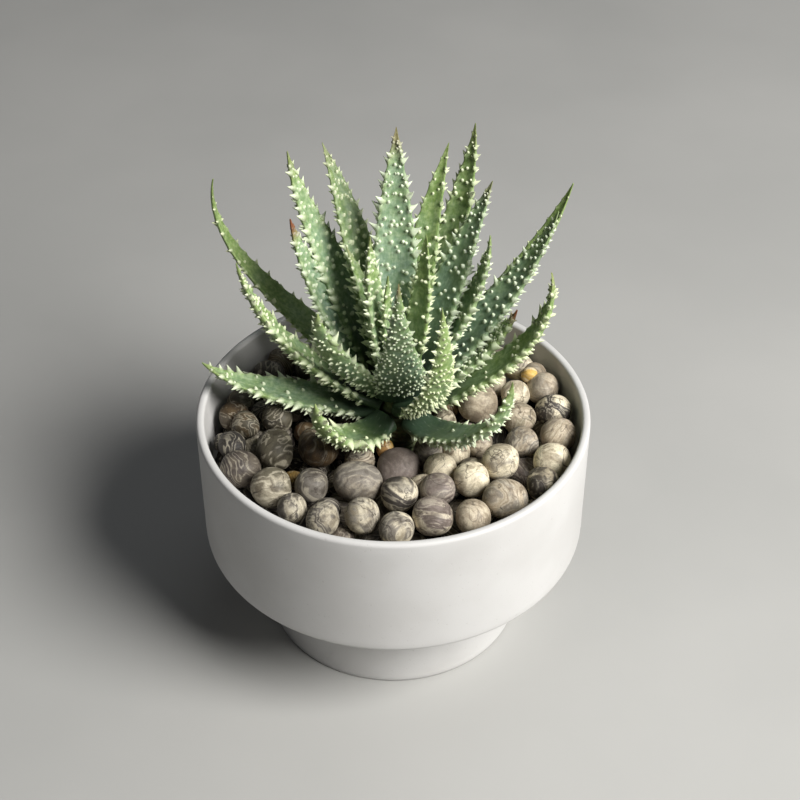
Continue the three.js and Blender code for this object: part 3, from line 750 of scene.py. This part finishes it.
def leaf_line(leaf, node):
    """The leaf's middle line, shifted so that the far sides of its plain skin meet the CAD leaf's box."""
    heads, out = math.radians(leaf.heads), (1 + 1.3 * leaf.whorl) * MM
    start = CROWN + np.array([math.cos(heads) * out, math.sin(heads) * out, -2.3 * leaf.whorl * MM])
    line = grow(leaf.heads, leaf.rise, leaf.tip_rise, leaf.bend, leaf.sweep, leaf.length * MM, start)
    s, turn = np.meshgrid(np.linspace(0, 1, 60), np.linspace(0, 2 * np.pi, 24), indexing="ij")
    skin = leaf_point(leaf, line, s, turn).reshape(-1, 3)
    low, high = (np.array(corner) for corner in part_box(node))
    far = line[-1] - line[0] > 0
    return line + np.where(far, high - skin.max(0), low - skin.min(0))


def leaf_mesh(leaf, look, index, node):
    """The skin grid, closed at both ends, with a low mound under each bump, and the spines on it. Each list
    of values has the skin's, then those of the base's middle and the tip, then the spines'."""
    draw = np.random.default_rng(SPINE_SEED + index)
    line = leaf_line(leaf, node)
    sites = spine_sites(leaf, look, draw)
    roots, normals, aheads = leaf_frame(leaf, line, sites[:, 0], sites[:, 1])
    s, turn = np.meshgrid(np.linspace(0.0, 1.0, LEAF_ROWS) ** 0.95, full_turn(LEAF_COLUMNS), indexing="ij")
    skin, out, _ = leaf_frame(leaf, line, np.clip(s, 0.004, 0.998), turn)
    skin, out = skin.reshape(-1, 3), out.reshape(-1, 3)
    reach = (sites[:, 3] * 1.5 * MM)[None]
    gap = np.linalg.norm(skin[:, None] - roots[None], axis=-1)
    hills = np.exp(-((gap / reach) ** 2))
    past_base = np.arange(len(skin)) >= 2 * LEAF_COLUMNS
    skin = skin + out * ((hills * sites[None, :, 3] * 0.45 * MM).max(1) * past_base)[:, None]
    swell = waves(skin, 260, 8, SWELL_SEED + index) * SWELL_HEIGHT
    uneven = swell + waves(skin, 900, 10, RIPPLE_SEED + index) * RIPPLE_HEIGHT
    skin = skin + out * (uneven * np.interp(s.reshape(-1), [0, 0.8, 1], [1, 0.8, 0.1]))[:, None]
    points, triangles = capped(skin, LEAF_ROWS, LEAF_COLUMNS, line[-1] + (line[-1] - line[-2]) * 0.6)
    cones, cone_triangles, pale, many = spines(roots, normals, aheads, sites)
    along = np.concatenate([s.reshape(-1), [0, 1], np.repeat(sites[:, 0], many)])
    round_ = np.concatenate([turn.reshape(-1), [0, 0], np.repeat(sites[:, 1], many)])
    halo = np.concatenate([hills.max(1), [0, 0], np.ones(len(pale))])
    white = np.concatenate([0 * s.reshape(-1), [0, 0], pale])
    numbers = {"along": along, "halo": halo, "pale": white, "edge": np.abs(np.cos(round_)),
               "tone": np.full(len(along), look.tone), "shade": np.full(len(along), look.shade),
               "dry": np.full(len(along), look.dry)}
    across = np.cos(round_) * leaf.width / 2 + 31 * index
    streak = np.stack([across, along * leaf.length, 0 * along], -1) * MM
    triangles = np.concatenate([triangles, cone_triangles + len(points)])
    return np.concatenate([points, cones]), triangles, numbers, streak


def leaf_finish():
    """Blue-green bloom over green flesh: greener to the tip and margins, with painted shade darkening the
    clasped base where the leaves crowd, finely streaked along the leaf, with cream bumps and teeth and a
    reddish-brown dry point."""
    material, tree, shader = new_finish(
        "waxy_leaf", Subsurface_Weight=0.06, Subsurface_Scale=0.004, Specular_IOR_Level=0.4)
    place = put(tree, "TexCoord").outputs["Object"]
    streak = attribute(tree, "streak").outputs["Vector"]
    lengthwise = put(tree, "Mapping", {"Vector": streak, "Scale": (1.0, 0.09, 1.0)}).outputs[0]
    names = ("along", "halo", "pale", "edge", "shade", "tone", "dry")
    get = {name: attribute(tree, name).outputs["Fac"] for name in names}
    cloud = noise(tree, place, 150.0, 3.0, 0.55)
    mottle = noise(tree, place, 700.0, 3.0, 0.6)
    streaks = noise(tree, lengthwise, 1500.0, 2.0, 0.6)
    fleck = noise(tree, lengthwise, 3200.0, 1.0)
    to_tip = between(tree, get["along"], 0.45, 1.0)
    yellow = calc(tree, "ADD", get["tone"], times(tree, to_tip, 0.4))
    yellow = calc(tree, "ADD", yellow, times(tree, between(tree, get["edge"], 0.75, 1.0), 0.25))
    yellow = calc(tree, "ADD", yellow, between(tree, cloud, 0.3, 0.7, -0.2, 0.2), clamp=True)
    bloom = mix(tree, between(tree, mottle, 0.35, 0.7), (0.185, 0.29, 0.205, 1), (0.33, 0.44, 0.33, 1))
    green = mix(tree, between(tree, mottle, 0.35, 0.7), (0.19, 0.29, 0.075, 1), (0.37, 0.475, 0.19, 1))
    skin = mix(tree, yellow, bloom, green)
    skin = mix(tree, between(tree, streaks, 0.35, 0.7, 0.3, 0.0), skin, (0.1, 0.17, 0.08, 1))
    skin = mix(tree, get["shade"], skin, mix(tree, 1.0, skin, (0.3, 0.36, 0.3, 1), "MULTIPLY"))
    # Painted shade: the lower part of each leaf, down among the others, is blended nearly to black.
    skin = mix(tree, between(tree, get["along"], 0.06, 0.46, 0.93, 0.0), skin, (0.014, 0.034, 0.018, 1))
    skin = mix(tree, between(tree, fleck, 0.66, 0.76, 0.0, 0.3), skin, (0.6, 0.7, 0.55, 1))
    skin = mix(tree, between(tree, get["halo"], 0.25, 0.95, 0.0, 0.4), skin, (0.5, 0.62, 0.34, 1))
    cream = mix(tree, get["tone"], (0.7, 0.79, 0.61, 1), (0.76, 0.81, 0.5, 1))
    skin = mix(tree, get["pale"], skin, cream)
    tip = times(tree, between(tree, get["along"], 0.86, 0.98), get["dry"])
    skin = mix(tree, tip, skin, (0.22, 0.07, 0.03, 1))
    rough = between(tree, mottle, 0.3, 0.7, 0.42, 0.58)
    height = calc(tree, "ADD", times(tree, streaks, 0.5), times(tree, mottle, 0.6))
    feed(tree, shader, skin, rough, height, 0.3, 0.25 * MM)
    shader.inputs["Subsurface Radius"].default_value = (0.6, 1.0, 0.3)
    return material


waxy_leaf = leaf_finish()
for index, (growth, looks) in enumerate(zip(LEAF_GROWTH, LEAF_LOOKS)):
    node = f"leaf_{index + 1:02d}"
    points, triangles, numbers, streak = leaf_mesh(Leaf(*growth), Look(*looks), index, node)
    blade = add_mesh(
        f"toothed_{node}", points, triangles, waxy_leaf, numbers=numbers, vectors={"streak": streak})
    stands_for(blade, "leaf", node)

# --- Offset shoot -----------------------------------------------------------------------------------
# A small plain-green shoot of two folded leaves that comes up between the pebbles in front of the stem.

shoot_low, shoot_high = (np.array(corner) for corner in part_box("offset_shoot"))
SHOOT_ROWS, SHOOT_COLUMNS = 40, 40


def shoot_mesh():
    """A bud: an egg shape, drawn up to a point, whose section is pinched by a fold on each side,
    1 - 0.3 sin(turn)^8."""
    t = np.linspace(0, 1, SHOOT_ROWS)[:, None]
    turn = full_turn(SHOOT_COLUMNS)[None, :]
    swell = np.sin(np.pi * t**0.8) ** 0.8 * (1 - 0.55 * t) * 1.4 + 0.01
    fold = 1 - 0.3 * np.abs(np.sin(turn)) ** 8
    middle, half = (shoot_low + shoot_high) / 2, (shoot_high - shoot_low) / 2
    x = middle[0] + half[0] * swell * fold * np.cos(turn)
    y = middle[1] + half[1] * swell * fold * np.sin(turn) + 0.5 * MM * t
    z = shoot_low[2] + (shoot_high[2] - shoot_low[2]) * t + 0 * turn
    points, triangles = capped(np.stack([x, y, z], -1).reshape(-1, 3), SHOOT_ROWS, SHOOT_COLUMNS)
    return points, triangles, np.append((t + 0 * turn).reshape(-1), [0, 1])


points, triangles, along = shoot_mesh()
shoot = add_mesh(
    "green_shoot", points, triangles, waxy_leaf,
    numbers={"along": 0.4 + 0.4 * along, "halo": 0 * along, "pale": 0 * along, "edge": 0 * along,
             "tone": 0 * along + 0.9, "shade": 0 * along, "dry": 0 * along},
    vectors={"streak": points})
stands_for(shoot, "leaf", "offset_shoot")

# --- Floor, light and camera ------------------------------------------------------------------------
# A plain pale floor, one large soft light high on the right, a weak one above the back and soft daylight.

FLOOR_HALF = 6.0


def floor_sheet():
    """A wide flat square in the plane that the foot stands on."""
    corner = np.array([[-1, -1], [1, -1], [1, 1], [-1, 1]]) * FLOOR_HALF
    material, tree, shader = new_finish("pale_floor")
    place = put(tree, "TexCoord").outputs["Object"]
    cloud = noise(tree, place, 6.0, 5.0)
    tone = mix(tree, between(tree, cloud, 0.3, 0.7), (0.41, 0.41, 0.395, 1), (0.44, 0.438, 0.422, 1))
    rough = between(tree, cloud, 0.3, 0.7, 0.6, 0.75)
    feed(tree, shader, tone, rough, noise(tree, place, 900.0, 3.0), 0.08, 0.2 * MM)
    points = np.concatenate([corner, np.full((4, 1), bowl_low.z)], 1)
    return add_mesh("floor", points, np.array([[0, 1, 2], [0, 2, 3]]), material)


floor_sheet()


def point_at(thing, place, target):
    """Places a lamp or camera and turns its -Z to the target."""
    way = np.array(target, float) - np.array(place, float)
    flat = math.hypot(way[0], way[1])
    thing.location = place
    thing.rotation_euler = (math.atan2(flat, -way[2]), 0, math.atan2(-way[0], way[1]))
    bpy.context.scene.collection.objects.link(thing)


def lamp(name, azimuth, elevation, distance, size, power, colour):
    light = bpy.data.lights.new(name, "AREA")
    light.shape, light.size, light.energy, light.color = "DISK", size, power, colour
    a, e = math.radians(azimuth), math.radians(elevation)
    place = np.array([math.cos(e) * math.cos(a), math.cos(e) * math.sin(a), math.sin(e)]) * distance
    point_at(bpy.data.objects.new(name, light), place + [0, 0, 0.1], (0, 0, 0.1))


lamp("window", azimuth=-33, elevation=42, distance=1.3, size=0.75, power=31.0, colour=(1.0, 0.985, 0.96))
lamp("sky_fill", azimuth=60, elevation=60, distance=1.6, size=1.2, power=2.0, colour=(0.92, 0.96, 1.0))

world = bpy.data.worlds.new("soft_room")
bpy.context.scene.world = world
world.use_nodes = True
daylight = world.node_tree.nodes["Background"]
daylight.inputs["Color"].default_value = (0.9, 0.93, 1.0, 1)
daylight.inputs["Strength"].default_value = 0.052

PITCH = 39.3
VIEW_DISTANCE = 0.567
TARGET = (2.4 * MM, 0.0, 95.5 * MM)
camera = bpy.data.cameras.new("camera")
camera.lens, camera.sensor_width = 72, 36
down = math.radians(PITCH)
viewpoint = bpy.data.objects.new("camera", camera)
seen_from = (TARGET[0], -VIEW_DISTANCE * math.cos(down), TARGET[2] + VIEW_DISTANCE * math.sin(down))
point_at(viewpoint, seen_from, TARGET)
bpy.context.scene.camera = viewpoint
bpy.context.scene.view_settings.view_transform = "Standard"
